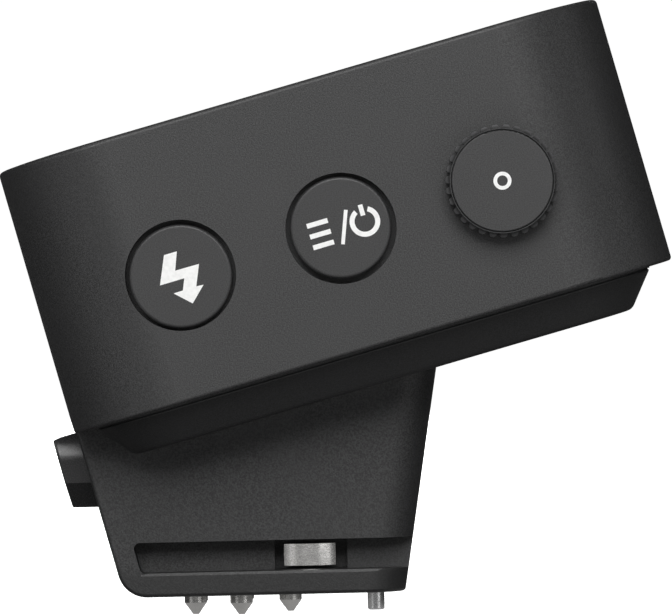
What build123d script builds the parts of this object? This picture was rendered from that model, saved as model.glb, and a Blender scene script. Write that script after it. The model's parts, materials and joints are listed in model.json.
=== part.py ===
from build123d import *
from math import cos, radians, sin, tan
import os

# Wireless flash trigger: a head with a touch screen on top and keys on one side, which leans back
# on a neck that ends in a camera hot-shoe foot. Millimetres. The origin is on the axis of the
# middle (sync) contact, in the plane of the foot's underside. +X is the camera's front, +Z is up,
# and the keys are on the -Y side.
#
# "Head" coordinates are the head's own: x forwards, y as above, z up from the housing's lower
# edge towards the screen, from a point at the middle of that edge plane.

os.makedirs("parts", exist_ok=True)

# ---- driving dimensions -------------------------------------------------------------------

HEAD_TILT = 15.0             # degrees that the head leans back
HEAD_ORIGIN = (7.42, 0.0, 20.52)
HEAD_L = 51.5                # head length along its x
HEAD_W = 44.0                # head width
CORNER_R = 9.3               # plan corner radius of the head
HOUSING_H = 22.46            # housing wall height
RIM_R = 0.38                 # rounding of the housing's upper edge
LOWER_EDGE_R = 0.3           # rounding of the housing's lower edge
WALL = 1.6                   # housing wall thickness
ROOF_Z = 20.05               # underside of the roof that carries the glass

GLASS_T = 0.8
GLASS_SEAT = 0.78            # how deep the glass sits in the roof
GLASS_RIM = 0.5              # width of the housing rim outside the glass
GLASS_GAP = 0.05
GLASS_EDGE_R = 0.1
WINDOW_L = 39.4              # opening in the roof for the display
WINDOW_W = 34.0
DISPLAY_FRAME_T = 0.5

TRAY_D = 3.04                # depth of the tapered bottom cover
TRAY_GAP = 0.12              # shadow gap between housing and cover
TRAY_INSET_TOP = 1.9
TRAY_INSET_LOW = 4.3
TRAY_FLOOR = 1.3
SPIGOT_H = 1.8               # rim of the cover that locates inside the housing
SPIGOT_FIT = 0.15
SPIGOT_WALL = 1.25
TRAY_EDGE_R = 0.9
TRAY_LIP_R = 0.15

CONTROL_X = 0.15             # head x of the middle control
CONTROL_PITCH = 13.6
CONTROL_Z = 10.05            # head z of the row of controls
KEY_HOLE_R = 4.53
KEY_FLANGE_R = 4.95
KEY_FLANGE_T = 0.7
KEY_REST_GAP = 0.1           # between the flange and the housing
KEY_FLANGE_W = 9.3           # flats on the flange stop the key turning
KEY_EDGE_R = 0.25
PLUNGER_R = 1.0
PLUNGER_Y = -18.4            # where key and switch plunger meet
SWITCH_FACE_Y = -17.7
SWITCH_SEAT_Y = -17.0        # inner end of the switch plunger
SWITCH_W = 5.0
DIAL_GAP = 0.5               # air between the housing and the dial
DIAL_FACE_Y = -24.6          # outer face of the dial
DIAL_BASE_R = 4.62           # over the teeth
DIAL_ROOT_R = 4.26           # between the teeth
DIAL_FRONT_R = 4.24          # edge of the face, inside the teeth's sloping ends
DIAL_SLOPE_D = 0.45          # depth of those ends
DIAL_TEETH = 31
DIAL_TOOTH_R = 0.3
DIAL_CAP_R = 4.19            # recess that takes the cap disc
DIAL_CAP_DEPTH = 0.6
DIAL_CAP_GAP = 0.06
SHAFT_R = 1.5
SHAFT_HOLE_R = 2.2
SHAFT_OUT_Y = -24.0          # outer end of the encoder's shaft
SHAFT_END_Y = -17.5          # its inner end
SHAFT_FLAT = 0.9             # from the shaft's axis to its flat
RUNNING = 0.05               # radial clearance of a running fit

CONTROL_BOARD_Y = -15.2      # inner face of the upright control board
CONTROL_BOARD_T = 0.8
CONTROL_BOARD = (36.0, 12.8)
MAIN_BOARD_Z = 14.0          # underside of the main board
MAIN_BOARD_T = 1.0

FOOT_W = 18.6                # hot-shoe foot plate width
FOOT_T = 2.0                 # hot-shoe foot plate thickness
FOOT_FRONT_X = 9.7
SLOT_TOP_Z = 4.58
WEB_W = 12.4                 # web between the two rail slots
NECK_LEAN = 0.161            # forward lean of the neck's front, mm per mm
NECK_WALL = 1.6
NECK_FRONT_R = 3.0
FOOT_REAR_R = 2.5
FOOT_EDGE_R = 0.3            # rounding of the foot's lower and rear edges
RAIL_CHAMFER_D = 0.1         # chamfer along the plate's upper edge, across and down
RAIL_CHAMFER_H = 0.22
CAVITY_Z = 6.0               # floor of the hollow in the neck

PIN_R = 0.95                 # contact pins
PIN_PROUD = 1.8
PIN_SEAT_Z = 2.2
PIN_TIP_R = 0.25
PIN_CONE_Z = 0.82            # where the cone begins, below the foot
PIN_STEM_R = 0.55
PIN_FLANGE_R = 1.35
PIN_FLANGE_T = 0.7
PIN_POCKET_R = 1.5
DATA_ROWS = ((-4.1, 3.9), (-8.0, 1.9))      # X and half spacing of the two rows of data contacts

LOCK_X = 7.25
LOCK_R = 0.72
LOCK_PROUD = 1.85
LOCK_SEAT_Z = 3.0
COLLAR_Z = 9.9
COLLAR_R = 1.6
COLLAR_T = 1.0
LOCK_FLANGE_T = 0.5
RELEASE_TRAVEL = 1.6
RELEASE_RATIO = 1.2          # pin lift per button travel
RELEASE_PROUD = 2.3
RELEASE_TOP_GAP = 0.05       # between the button and the head above it
RELEASE_HALF_W = 5.5
RELEASE_LOW_Z = 7.5
RELEASE_CHAMFER_W = 1.3      # cut of the button's lower corners, across and up
RELEASE_CHAMFER_H = 2.1
RELEASE_EDGE_R = 0.22
RELEASE_SHOULDER_Z = 12.7    # where the button's upper corners begin to slope inwards
RELEASE_SHOULDER_CUT = 3.1
RELEASE_SHOULDER_R = 3.0
RELEASE_HIGH_Z = 16.0        # above the head's lower edge, which cuts the button off
BUTTON_BACK_X = -12.7        # inner face of the release button
NOTCH_END_X = -14.0
NOTCH_GAP = 0.12
SPRING_STOP_X = -8.0
SPRING_Z = 11.6
SPRING_WALL_H = 2.8
SLIDER_Z = 8.8
SLIDER_T = 1.0
SLIDER_W = 6.0
PRONG_FIT = 0.25             # play between the slider's prongs and the lock pin
PRONG_HALF_W = 1.9
GUIDE_Z = 8.0                # underside of the lock guide
GUIDE_T = 0.6
GUIDE_PILLARS = [(7.0, -5.9), (7.0, 5.9)]
GUIDE_PILOT_R = 0.5
GUIDE_SCREW_R = 0.48

BOARD_Z = 7.4                # underside of the contact board
BOARD_T = 0.8
BOARD_SCREW_X = -4.1
LEAF_X = (-0.25, 3.75)       # ends of the ground leaves
LEAF_LOW_GAP = 0.28          # air below and above the leaves
LEAF_HIGH_GAP = 0.48
LEAF_POCKET = (-1.2, 4.9)
LEAF_T = 0.25
LEAF_END_Y = 5.8
LEAF_BULGE_Y = 6.4
SLOT_REAR = 1.85             # wall behind the rail slots, measured square to the rear face

BOSS_X = 19.2                # corner bosses for the cover's screws
BOSS_Y = 13.2
BOSS_R = 1.9
BOSS_Z = 2.0
BOSS_HOLE_R = 0.7
COVER_SCREW_R = 1.35         # heads of the cover's screws
POST_X = 21.4                # posts for the main board
POST_Y = 9.5
POST_R = 1.6
PILOT_R = 0.55               # screw holes in the posts
SCREW_HOLE_R = 0.7           # screw holes in the boards
THREAD_R = 0.52              # small screws
CROSS_W = 0.22               # arms of the crosses in the screw heads
NECK_MIDDLE_X = -6.5         # head x of the middle of the neck's opening
NECK_FLANGE_Z = 0.65         # head z of the underside of the neck's flange
STUB_X = -9.35               # the neck's stub inside the head
STUB_L = 29.1
NECK_SCREW_X = (-14.0, 2.0)
NECK_SCREW_Y = 10.2
NECK_HEAD_DEPTH = 0.45       # recess of the neck screws' heads

USB_X = -8.0
USB_Z = 12.36
USB_SHELL = (8.94, 3.24)
USB_SHEET = 0.3
USB_DEPTH = 7.4
USB_HOLE_GAP = 0.13
JACK_X = 9.0
JACK_Z = 11.7
JACK_NOSE_R = 2.5
JACK_BORE_R = 1.3
JACK_BORE_L = 9.0
PORT_FACE_Y = 21.6

BATTERY = (19.6, 26.6, 6.4)
BATTERY_X = -7.2
PAD = (18.0, 22.0, 0.3)
PAD_X = -8.9
BATTERY_PLATE_T = 1.0
BUZZER_R = 4.5
BUZZER_H = 3.6
BUZZER_AT = (15.5, 2.0)
SHIELD = (12.0, 9.0, 2.2)
SHIELD_AT = (10.8, -9.3)
SHEET_T = 0.2
ANTENNA_X = 19.5
ANTENNA_H = 2.5
ANTENNA_W = 0.5
FLEX_T = 0.15
FOOT_FLEX_Y = 4.9

# ---- places worked out from them ----------------------------------------------------------

LEAN = radians(HEAD_TILT)
HEAD = Plane(origin=HEAD_ORIGIN, x_dir=(cos(LEAN), 0, sin(LEAN)), z_dir=(-sin(LEAN), 0, cos(LEAN)))
HEAD_UP = Axis(HEAD_ORIGIN, HEAD.z_dir)
INNER_L = HEAD_L - 2 * WALL
INNER_W = HEAD_W - 2 * WALL
FACE_Y = -HEAD_W / 2                         # outer face of the wall with the controls
WALL_Y = FACE_Y + WALL                       # its inner face
FLASH_X = CONTROL_X - CONTROL_PITCH
MENU_X = CONTROL_X
DIAL_X = CONTROL_X + CONTROL_PITCH
BOSSES = [(x, y) for x in (-BOSS_X, BOSS_X) for y in (-BOSS_Y, BOSS_Y)]
POSTS = [(x, y) for x in (-POST_X, POST_X) for y in (-POST_Y, POST_Y)]
CONTROL_POSTS = [(MENU_X - CONTROL_PITCH / 2, CONTROL_Z), (MENU_X + CONTROL_PITCH / 2, CONTROL_Z)]
NECK_SCREWS = [(x, y) for x in NECK_SCREW_X for y in (-NECK_SCREW_Y, NECK_SCREW_Y)]
CONTACTS = [(0.0, 0.0)] + [(x, side * y) for x, y in DATA_ROWS for side in (-1, 1)]
CONTROL_BOARD_BACK = CONTROL_BOARD_Y - CONTROL_BOARD_T
MAIN_TOP_Z = MAIN_BOARD_Z + MAIN_BOARD_T
BATTERY_PLATE_Z = SPIGOT_H + 0.05
NECK_RIM = NECK_WALL + 0.1                   # depth at which moving parts run inside the rear wall
LIFT = RELEASE_TRAVEL * RELEASE_RATIO
WEDGE_X = LOCK_X - (COLLAR_R**2 - (LOCK_R + PRONG_FIT) ** 2) ** 0.5
WEDGE_Z = COLLAR_Z - 0.05
WEDGE_TOP_Z = WEDGE_Z + LIFT + 0.2
WEDGE_TOP_X = WEDGE_X - (LIFT + 0.2) / RELEASE_RATIO
BEHIND = Plane(origin=(-25, 0, 0), x_dir=(0, 1, 0), z_dir=(1, 0, 0))


def at_head(x, z):
    """World X, Z of a point given in the head's x and z."""
    point = HEAD.from_local_coords((x, 0, z))
    return (point.X, point.Z)


def side_plane(y):
    """Upright plane at a given y in head coordinates; sketches use head x, z and face -Y."""
    return Plane(origin=HEAD.from_local_coords((0, y, 0)), x_dir=HEAD.x_dir, z_dir=(0, -1, 0))


def end_plane(x):
    """Upright plane across the head at a given head x; sketches use y and head z."""
    return Plane(origin=HEAD.from_local_coords((x, 0, 0)), x_dir=(0, 1, 0), z_dir=HEAD.x_dir)


def world_plane(y):
    """Upright plane at a given y; sketches use world X, Z and face -Y."""
    return Plane(origin=(0, y, 0), x_dir=(1, 0, 0), z_dir=(0, -1, 0))


REAR_X0, REAR_Z0 = at_head(-HEAD_L / 2, 0)    # rear corner of the housing's lower edge


def rear_x(z, depth=0.0):
    """World X of the neck's rear face at height z, moved into the neck by a wall's depth."""
    return REAR_X0 + (REAR_Z0 - z) * tan(LEAN) + depth / cos(LEAN)


def front_x(z, depth=0.0):
    """World X of the neck's front face at height z, moved into the neck by a wall's depth."""
    return FOOT_FRONT_X + NECK_LEAN * z - depth


def neck_form(grow, top):
    """Neck and foot as one solid up to a head z, grown sideways and forwards by a clearance."""
    rear_top = at_head(-HEAD_L / 2, top)
    front_top_x = front_head_x(top) + grow
    with BuildPart() as form:
        with BuildSketch(world_plane(0)):
            with BuildLine():
                Polyline(
                    (rear_x(0), 0),
                    (front_x(0, -grow), 0),
                    at_head(front_top_x, top),
                    rear_top,
                    close=True,
                )
            make_face()
        extrude(amount=FOOT_W / 2 + grow, both=True)
        fronts = form.faces().sort_by(Axis.X)[-1].edges().group_by(Axis.Y)
        fillet(fronts[0] + fronts[-1], NECK_FRONT_R)
    return form.part


def front_head_x(z):
    """Head x of the neck's front face at a head z."""
    lean_x = cos(LEAN) - NECK_LEAN * sin(LEAN)
    world_part = FOOT_FRONT_X + NECK_LEAN * (HEAD_ORIGIN[2] + z * cos(LEAN))
    return (world_part - HEAD_ORIGIN[0] + z * sin(LEAN)) / lean_x


def inner_outline(half_x, high_y, low_y):
    """Corners of a cross-shaped plate that leaves the housing's corner bosses free."""
    in_x, in_y = 17.0, 11.0
    right = [(in_x, -low_y), (in_x, -in_y), (half_x, -in_y), (half_x, in_y), (in_x, in_y), (in_x, high_y)]
    left = [(-x, y) for x, y in reversed(right)]
    return right + left


def release_form(grow, end_x):
    """Release button's outline seen from behind, with rounded shoulders, as a bar that ends at an X."""
    half = RELEASE_HALF_W + grow
    low = RELEASE_LOW_Z - grow
    right = [
        (half - RELEASE_CHAMFER_W, low),
        (half, low + RELEASE_CHAMFER_H),
        (half, RELEASE_SHOULDER_Z),
        (half - RELEASE_SHOULDER_CUT, RELEASE_HIGH_Z),
    ]
    left = [(-y, z) for y, z in reversed(right)]
    with BuildPart() as form:
        with BuildSketch(BEHIND) as outline:
            with BuildLine():
                Polyline(*right, *left, close=True)
            make_face()
            shoulders = outline.vertices().filter_by(lambda v: abs(v.Y - RELEASE_SHOULDER_Z) < 0.01)
            fillet(shoulders, RELEASE_SHOULDER_R + grow)
        extrude(amount=end_x - BEHIND.origin.X)
    return form.part


def ribbon(plane, points, bend, width):
    """Flat cable that follows a bent line in a plane."""
    with BuildPart() as strip:
        with BuildSketch(plane):
            with BuildLine():
                FilletPolyline(*points, radius=bend)
            trace(line_width=FLEX_T)
        extrude(amount=width / 2, both=True)
    return strip


def coil_spring(place, mean_r, wire_r, length, turns):
    """Helical wire spring that stands on a plane."""
    with BuildPart() as spring:
        with BuildLine(place.offset(wire_r)):
            coil = Helix(
                pitch=(length - 2 * wire_r) / turns,
                height=length - 2 * wire_r,
                radius=mean_r,
                direction=place.z_dir,
            )
        with BuildSketch(Plane(origin=coil @ 0, z_dir=coil % 0)):
            Circle(wire_r)
        sweep(path=coil, is_frenet=True)
    return spring


def screws(places, head_r, head_t, shank_r, shank_l, plane):
    """Group of equal cross-head screws with their heads on a plane and shanks below it."""
    with BuildPart() as group:
        for x, y in places:
            with BuildSketch(plane):
                with Locations((x, y)):
                    Circle(shank_r)
            extrude(amount=-shank_l)
            with BuildSketch(plane):
                with Locations((x, y)):
                    Circle(head_r)
            extrude(amount=head_t)
            with BuildSketch(plane.offset(head_t)):
                with Locations((x, y)):
                    Rectangle(1.1 * head_r, CROSS_W)
                    Rectangle(CROSS_W, 1.1 * head_r)
            extrude(amount=-0.6 * head_t, mode=Mode.SUBTRACT)
    return group


# ---- head: casing -------------------------------------------------------------------------

with BuildPart() as upper_housing:
    with BuildSketch(HEAD):
        RectangleRounded(HEAD_L, HEAD_W, CORNER_R)
    extrude(amount=HOUSING_H)
    fillet(upper_housing.faces().sort_by(HEAD_UP)[-1].edges(), RIM_R)
    fillet(upper_housing.faces().sort_by(HEAD_UP)[0].edges(), LOWER_EDGE_R)
    with BuildSketch(HEAD):
        RectangleRounded(INNER_L, INNER_W, CORNER_R - WALL)
    extrude(amount=ROOF_Z, mode=Mode.SUBTRACT)
    with BuildSketch(HEAD.offset(HOUSING_H - GLASS_SEAT)):
        RectangleRounded(HEAD_L - 2 * GLASS_RIM, HEAD_W - 2 * GLASS_RIM, CORNER_R - GLASS_RIM)
    extrude(amount=GLASS_SEAT, mode=Mode.SUBTRACT)
    with BuildSketch(HEAD.offset(ROOF_Z)):
        RectangleRounded(WINDOW_L, WINDOW_W, 1.0)
    extrude(amount=HOUSING_H - ROOF_Z, mode=Mode.SUBTRACT)
    # corner bosses for the cover's screws
    with BuildSketch(HEAD.offset(BOSS_Z)):
        with Locations(*BOSSES):
            Circle(BOSS_R)
    extrude(amount=ROOF_Z - BOSS_Z)
    with BuildSketch(HEAD.offset(BOSS_Z)):
        with Locations(*BOSSES):
            Circle(BOSS_HOLE_R)
    extrude(amount=8.0, mode=Mode.SUBTRACT)
    # posts on the end walls for the main board
    with BuildSketch(HEAD.offset(MAIN_TOP_Z)):
        for x, y in POSTS:
            with Locations((x, y)):
                Circle(POST_R)
            outward = 1 if x > 0 else -1
            web = INNER_L / 2 + 0.05 - POST_X
            with Locations((x + outward * web / 2, y)):
                Rectangle(web, 2 * POST_R)
    extrude(amount=ROOF_Z - MAIN_TOP_Z)
    with BuildSketch(HEAD.offset(MAIN_TOP_Z)):
        with Locations(*POSTS):
            Circle(PILOT_R)
    extrude(amount=3.5, mode=Mode.SUBTRACT)
    # posts on the side wall for the control board
    with BuildSketch(side_plane(CONTROL_BOARD_BACK)):
        with Locations(*CONTROL_POSTS):
            Circle(1.4)
    extrude(amount=CONTROL_BOARD_BACK - WALL_Y + 0.2)
    with BuildSketch(side_plane(CONTROL_BOARD_BACK)):
        with Locations(*CONTROL_POSTS):
            Circle(PILOT_R)
    extrude(amount=3.0, mode=Mode.SUBTRACT)
    # holes of the controls
    with BuildSketch(side_plane(WALL_Y + 1)):
        with Locations((FLASH_X, CONTROL_Z), (MENU_X, CONTROL_Z)):
            Circle(KEY_HOLE_R)
        with Locations((DIAL_X, CONTROL_Z)):
            Circle(SHAFT_HOLE_R)
    extrude(amount=WALL + 1, mode=Mode.SUBTRACT)
    # ports on the other side
    with BuildSketch(side_plane(HEAD_W / 2)):
        with Locations((USB_X, USB_Z)):
            SlotOverall(USB_SHELL[0] + 2 * USB_HOLE_GAP, USB_SHELL[1] + 2 * USB_HOLE_GAP)
        with Locations((JACK_X, JACK_Z)):
            Circle(JACK_NOSE_R + 0.1)
    extrude(amount=WALL, mode=Mode.SUBTRACT)
upper_housing.part.label = "upper_housing"
export_step(upper_housing.part, "parts/upper_housing.step")

with BuildPart() as touch_glass:
    with BuildSketch(HEAD.offset(HOUSING_H - GLASS_SEAT)):
        inset = GLASS_RIM + GLASS_GAP
        RectangleRounded(HEAD_L - 2 * inset, HEAD_W - 2 * inset, CORNER_R - inset)
    extrude(amount=GLASS_T)
    fillet(touch_glass.faces().sort_by(HEAD_UP)[-1].edges(), GLASS_EDGE_R)
touch_glass.part.label = "touch_glass"
export_step(touch_glass.part, "parts/touch_glass.step")

neck_opening = neck_form(0.1, SPIGOT_H + 0.2)

with BuildPart() as bottom_cover:
    with BuildSketch(HEAD.offset(-TRAY_D)):
        RectangleRounded(
            HEAD_L - 2 * TRAY_INSET_LOW, HEAD_W - 2 * TRAY_INSET_LOW, CORNER_R - TRAY_INSET_LOW
        )
    with BuildSketch(HEAD.offset(-TRAY_GAP)):
        RectangleRounded(
            HEAD_L - 2 * TRAY_INSET_TOP, HEAD_W - 2 * TRAY_INSET_TOP, CORNER_R - TRAY_INSET_TOP
        )
    loft()
    fillet(bottom_cover.faces().sort_by(HEAD_UP)[0].edges(), TRAY_EDGE_R)
    fillet(bottom_cover.faces().sort_by(HEAD_UP)[-1].edges(), TRAY_LIP_R)
    with BuildSketch(HEAD.offset(-TRAY_GAP)):
        rim = WALL + SPIGOT_FIT
        RectangleRounded(HEAD_L - 2 * rim - 0.4, HEAD_W - 2 * rim - 0.4, CORNER_R - rim - 0.2)
    extrude(amount=TRAY_GAP)
    with BuildSketch(HEAD):
        RectangleRounded(HEAD_L - 2 * rim, HEAD_W - 2 * rim, CORNER_R - rim)
    extrude(amount=SPIGOT_H)
    # the hollow
    floor_inset = TRAY_INSET_LOW + 0.9
    rim_inset = rim + SPIGOT_WALL
    with BuildSketch(HEAD.offset(-TRAY_D + TRAY_FLOOR)):
        RectangleRounded(HEAD_L - 2 * floor_inset, HEAD_W - 2 * floor_inset, CORNER_R - floor_inset)
    with BuildSketch(HEAD):
        RectangleRounded(HEAD_L - 2 * rim_inset, HEAD_W - 2 * rim_inset, CORNER_R - rim_inset)
    loft(mode=Mode.SUBTRACT)
    with BuildSketch(HEAD):
        RectangleRounded(HEAD_L - 2 * rim_inset, HEAD_W - 2 * rim_inset, CORNER_R - rim_inset)
    extrude(amount=SPIGOT_H, mode=Mode.SUBTRACT)
    # pillars for the housing screws, and a collar round the neck
    with BuildSketch(HEAD.offset(-TRAY_D + 0.5)):
        with Locations(*BOSSES):
            Circle(BOSS_R + 0.2)
    extrude(amount=TRAY_D - 0.5 + BOSS_Z)
    with BuildSketch(HEAD.offset(-TRAY_D + 0.5)):
        with Locations((NECK_MIDDLE_X, 0)):
            RectangleRounded(30.2, 22.4, 2.0)
    extrude(amount=TRAY_D + 0.1)
    add(neck_opening, mode=Mode.SUBTRACT)
    with BuildSketch(HEAD):
        with Locations((NECK_MIDDLE_X, 0)):
            Rectangle(30.6, FOOT_W + 0.2)
    extrude(amount=SPIGOT_H, mode=Mode.SUBTRACT)
    # screw holes, countersunk from below
    with BuildSketch(HEAD.offset(-TRAY_D)):
        with Locations(*BOSSES):
            Circle(BOSS_HOLE_R + 0.1)
    extrude(amount=TRAY_D + BOSS_Z, mode=Mode.SUBTRACT)
    with BuildSketch(HEAD.offset(-TRAY_D)):
        with Locations(*BOSSES):
            Circle(COVER_SCREW_R + 0.1)
    extrude(amount=0.75, mode=Mode.SUBTRACT)
    with BuildSketch(HEAD.offset(-TRAY_D + TRAY_FLOOR)):
        with Locations(*NECK_SCREWS):
            Circle(0.5)
    extrude(amount=TRAY_D, mode=Mode.SUBTRACT)
bottom_cover.part.label = "bottom_cover"
export_step(bottom_cover.part, "parts/bottom_cover.step")

# ---- controls -----------------------------------------------------------------------------

# The keys sit a little off centre in their holes, as they do when nothing presses them.
KEYS = {"flash": (FLASH_X, CONTROL_Z - 0.08, 4.22), "menu": (MENU_X, CONTROL_Z + 0.07, 4.14)}

for name, (x, z, radius) in KEYS.items():
    with BuildPart() as key:
        with BuildSketch(side_plane(WALL_Y + KEY_REST_GAP + KEY_FLANGE_T)):
            with Locations((x, z)):
                Circle(KEY_FLANGE_R)
                Rectangle(KEY_FLANGE_W, 2 * KEY_FLANGE_R, mode=Mode.INTERSECT)
        extrude(amount=KEY_FLANGE_T)
        # the flange follows the housing's rounded inner corner
        with BuildSketch(HEAD):
            inner_r = CORNER_R - WALL - KEY_REST_GAP
            RectangleRounded(INNER_L - 2 * KEY_REST_GAP, INNER_W - 2 * KEY_REST_GAP, inner_r)
        extrude(amount=ROOF_Z, mode=Mode.INTERSECT)
        with BuildSketch(side_plane(WALL_Y + KEY_REST_GAP)):
            with Locations((x, z)):
                Circle(radius)
        extrude(amount=WALL_Y + KEY_REST_GAP - FACE_Y)
        fillet(key.faces().sort_by(Axis.Y)[0].edges(), KEY_EDGE_R)
        with BuildSketch(side_plane(PLUNGER_Y)):
            with Locations((x, z)):
                Circle(PLUNGER_R + 0.2)
        extrude(amount=PLUNGER_Y - WALL_Y - KEY_REST_GAP - KEY_FLANGE_T)
    key.part.label = f"{name}_button"
    export_step(key.part, f"parts/{name}_button.step")

    with BuildPart() as plunger:
        with BuildSketch(side_plane(SWITCH_SEAT_Y)):
            with Locations((x, z)):
                Circle(PLUNGER_R)
        extrude(amount=SWITCH_SEAT_Y - PLUNGER_Y)
    plunger.part.label = f"{name}_switch_plunger"
    export_step(plunger.part, f"parts/{name}_switch_plunger.step")

    with BuildPart() as switch:
        with BuildSketch(side_plane(CONTROL_BOARD_BACK)):
            with Locations((x, z)):
                RectangleRounded(SWITCH_W, SWITCH_W, 0.3)
        extrude(amount=CONTROL_BOARD_BACK - SWITCH_FACE_Y)
        with BuildSketch(side_plane(CONTROL_BOARD_BACK - 0.3)):
            with Locations((x, z)):
                Circle(PLUNGER_R + RUNNING)
        extrude(amount=CONTROL_BOARD_BACK - SWITCH_FACE_Y, mode=Mode.SUBTRACT)
    switch.part.label = f"{name}_switch"
    export_step(switch.part, f"parts/{name}_switch.step")

with BuildPart() as control_dial:
    with BuildSketch(side_plane(FACE_Y - DIAL_GAP)):
        with Locations((DIAL_X, CONTROL_Z)):
            Circle(DIAL_ROOT_R)
            with PolarLocations(DIAL_BASE_R - DIAL_TOOTH_R, DIAL_TEETH):
                Circle(DIAL_TOOTH_R)
    extrude(amount=FACE_Y - DIAL_GAP - DIAL_FACE_Y)
    with BuildSketch(side_plane(FACE_Y - DIAL_GAP)):
        with Locations((DIAL_X, CONTROL_Z)):
            Circle(DIAL_BASE_R - 0.02)
    with BuildSketch(side_plane(DIAL_FACE_Y + DIAL_SLOPE_D)):
        with Locations((DIAL_X, CONTROL_Z)):
            Circle(DIAL_BASE_R - 0.05)
    with BuildSketch(side_plane(DIAL_FACE_Y)):
        with Locations((DIAL_X, CONTROL_Z)):
            Circle(DIAL_FRONT_R)
    loft(ruled=True, mode=Mode.INTERSECT)
    with BuildSketch(side_plane(DIAL_FACE_Y)):
        with Locations((DIAL_X, CONTROL_Z)):
            Circle(DIAL_CAP_R)
    extrude(amount=-DIAL_CAP_DEPTH, mode=Mode.SUBTRACT)
    with BuildSketch(side_plane(FACE_Y)):
        with Locations((DIAL_X, CONTROL_Z)):
            Circle(SHAFT_R)
        with Locations((DIAL_X, CONTROL_Z + SHAFT_R)):
            Rectangle(2 * SHAFT_R, 2 * (SHAFT_R - SHAFT_FLAT), mode=Mode.SUBTRACT)
    extrude(amount=FACE_Y - SHAFT_OUT_Y, mode=Mode.SUBTRACT)
control_dial.part.label = "control_dial"
export_step(control_dial.part, "parts/control_dial.step")

with BuildPart() as dial_cap:
    with BuildSketch(side_plane(DIAL_FACE_Y + DIAL_CAP_DEPTH)):
        with Locations((DIAL_X, CONTROL_Z)):
            Circle(DIAL_CAP_R - DIAL_CAP_GAP)
    extrude(amount=DIAL_CAP_DEPTH)
    fillet(dial_cap.faces().sort_by(Axis.Y)[0].edges(), 0.12)
dial_cap.part.label = "dial_cap"
export_step(dial_cap.part, "parts/dial_cap.step")

with BuildPart() as encoder_shaft:
    with BuildSketch(side_plane(SHAFT_END_Y)):
        with Locations((DIAL_X, CONTROL_Z)):
            Circle(SHAFT_R)
    extrude(amount=SHAFT_END_Y - SHAFT_OUT_Y)
    with BuildSketch(side_plane(FACE_Y + 0.2)):
        with Locations((DIAL_X, CONTROL_Z + SHAFT_R)):
            Rectangle(2 * SHAFT_R, 2 * (SHAFT_R - SHAFT_FLAT))
    extrude(amount=FACE_Y + 0.2 - SHAFT_OUT_Y, mode=Mode.SUBTRACT)
    with BuildSketch(side_plane(-17.6)):
        with Locations((DIAL_X, CONTROL_Z)):
            Circle(SHAFT_R + 0.6)
    extrude(amount=0.5)
encoder_shaft.part.label = "encoder_shaft"
export_step(encoder_shaft.part, "parts/encoder_shaft.step")

with BuildPart() as encoder_rocker:
    with BuildSketch(side_plane(-16.9)):
        with Locations((DIAL_X, CONTROL_Z)):
            RectangleRounded(4.6, 4.6, 0.4)
    extrude(amount=0.5)
encoder_rocker.part.label = "encoder_rocker"
export_step(encoder_rocker.part, "parts/encoder_rocker.step")

with BuildPart() as encoder_body:
    with BuildSketch(side_plane(CONTROL_BOARD_BACK)):
        with Locations((DIAL_X, CONTROL_Z)):
            RectangleRounded(8.0, 8.0, 0.4)
    extrude(amount=3.6)
    with BuildSketch(side_plane(CONTROL_BOARD_BACK - 0.3)):
        with Locations((DIAL_X, CONTROL_Z)):
            RectangleRounded(5.4, 5.4, 0.4)
    extrude(amount=2.5, mode=Mode.SUBTRACT)
    with BuildSketch(side_plane(CONTROL_BOARD_BACK - 2.0)):
        with Locations((DIAL_X, CONTROL_Z)):
            Circle(SHAFT_R + RUNNING)
    extrude(amount=3.0, mode=Mode.SUBTRACT)
encoder_body.part.label = "encoder_body"
export_step(encoder_body.part, "parts/encoder_body.step")

with BuildPart() as control_board:
    with BuildSketch(side_plane(CONTROL_BOARD_Y)):
        with Locations((0, CONTROL_Z)):
            Rectangle(*CONTROL_BOARD)
        with Locations(*CONTROL_POSTS):
            Circle(SCREW_HOLE_R, mode=Mode.SUBTRACT)
    extrude(amount=CONTROL_BOARD_T)
control_board.part.label = "control_board"
export_step(control_board.part, "parts/control_board.step")

board_back = Plane(
    origin=HEAD.from_local_coords((0, CONTROL_BOARD_Y, 0)), x_dir=HEAD.x_dir, z_dir=(0, 1, 0)
)
control_board_screws = screws([(x, -z) for x, z in CONTROL_POSTS], 1.0, 0.5, THREAD_R, 3.0, board_back)
control_board_screws.part.label = "control_board_screws"
export_step(control_board_screws.part, "parts/control_board_screws.step")

# ---- inside the head ----------------------------------------------------------------------

with BuildPart() as display_panel:
    with BuildSketch(HEAD.offset(ROOF_Z + 0.05)):
        RectangleRounded(WINDOW_L - 0.6, WINDOW_W - 0.6, 0.5)
    extrude(amount=HOUSING_H - GLASS_SEAT - ROOF_Z - 0.1)
display_panel.part.label = "display_panel"
export_step(display_panel.part, "parts/display_panel.step")

with BuildPart() as display_frame:
    with BuildSketch(HEAD.offset(ROOF_Z - 0.05 - DISPLAY_FRAME_T)):
        RectangleRounded(34.0, 36.4, 1.0)
    extrude(amount=DISPLAY_FRAME_T)
display_frame.part.label = "display_frame"
export_step(display_frame.part, "parts/display_frame.step")

with BuildPart() as main_board:
    with BuildSketch(HEAD.offset(MAIN_BOARD_Z)):
        with BuildLine():
            Polyline(*inner_outline(23.0, 19.8, 14.4), close=True)
        make_face()
        with Locations(*POSTS):
            Circle(SCREW_HOLE_R, mode=Mode.SUBTRACT)
    extrude(amount=MAIN_BOARD_T)
main_board.part.label = "main_board"
export_step(main_board.part, "parts/main_board.step")

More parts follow.
